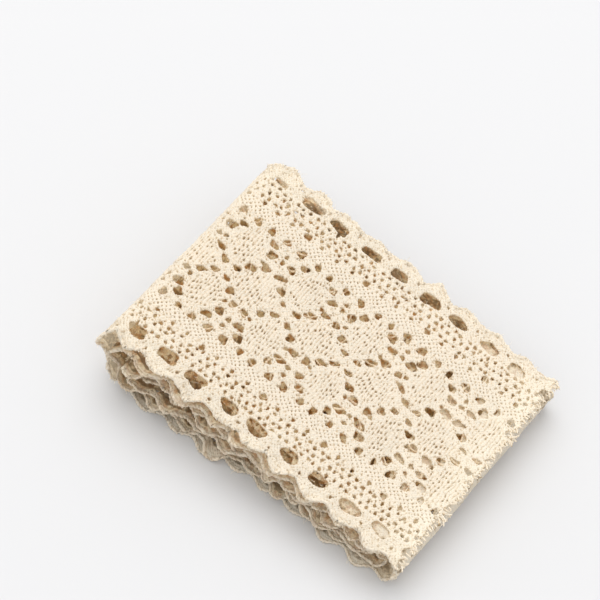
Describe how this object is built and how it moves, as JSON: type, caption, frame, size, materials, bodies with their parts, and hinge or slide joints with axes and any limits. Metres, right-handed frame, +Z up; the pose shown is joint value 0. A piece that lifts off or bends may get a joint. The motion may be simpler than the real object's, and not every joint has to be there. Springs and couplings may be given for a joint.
{
  "type": "flat-wound bundle of lace trim",
  "caption": "Length of cotton lace edging with scalloped, beaded edges, wound flat into a loose rectangular bundle that lies on a surface",
  "frame": {"origin": "under the middle of the bundle's box, on the surface that it lies on", "axes": "+Z up, X along the bundle from its loose left loop to its outer cut end, Y across the band from the near edge to the far edge"},
  "size_m": [0.1218, 0.0936, 0.027],
  "materials": {
    "cotton_lace": "unbleached ecru cotton thread, matt, slightly fuzzy"
  },
  "bodies": {
    "root": {"lace_trim": "cotton_lace"}
  },
  "joints": []
}
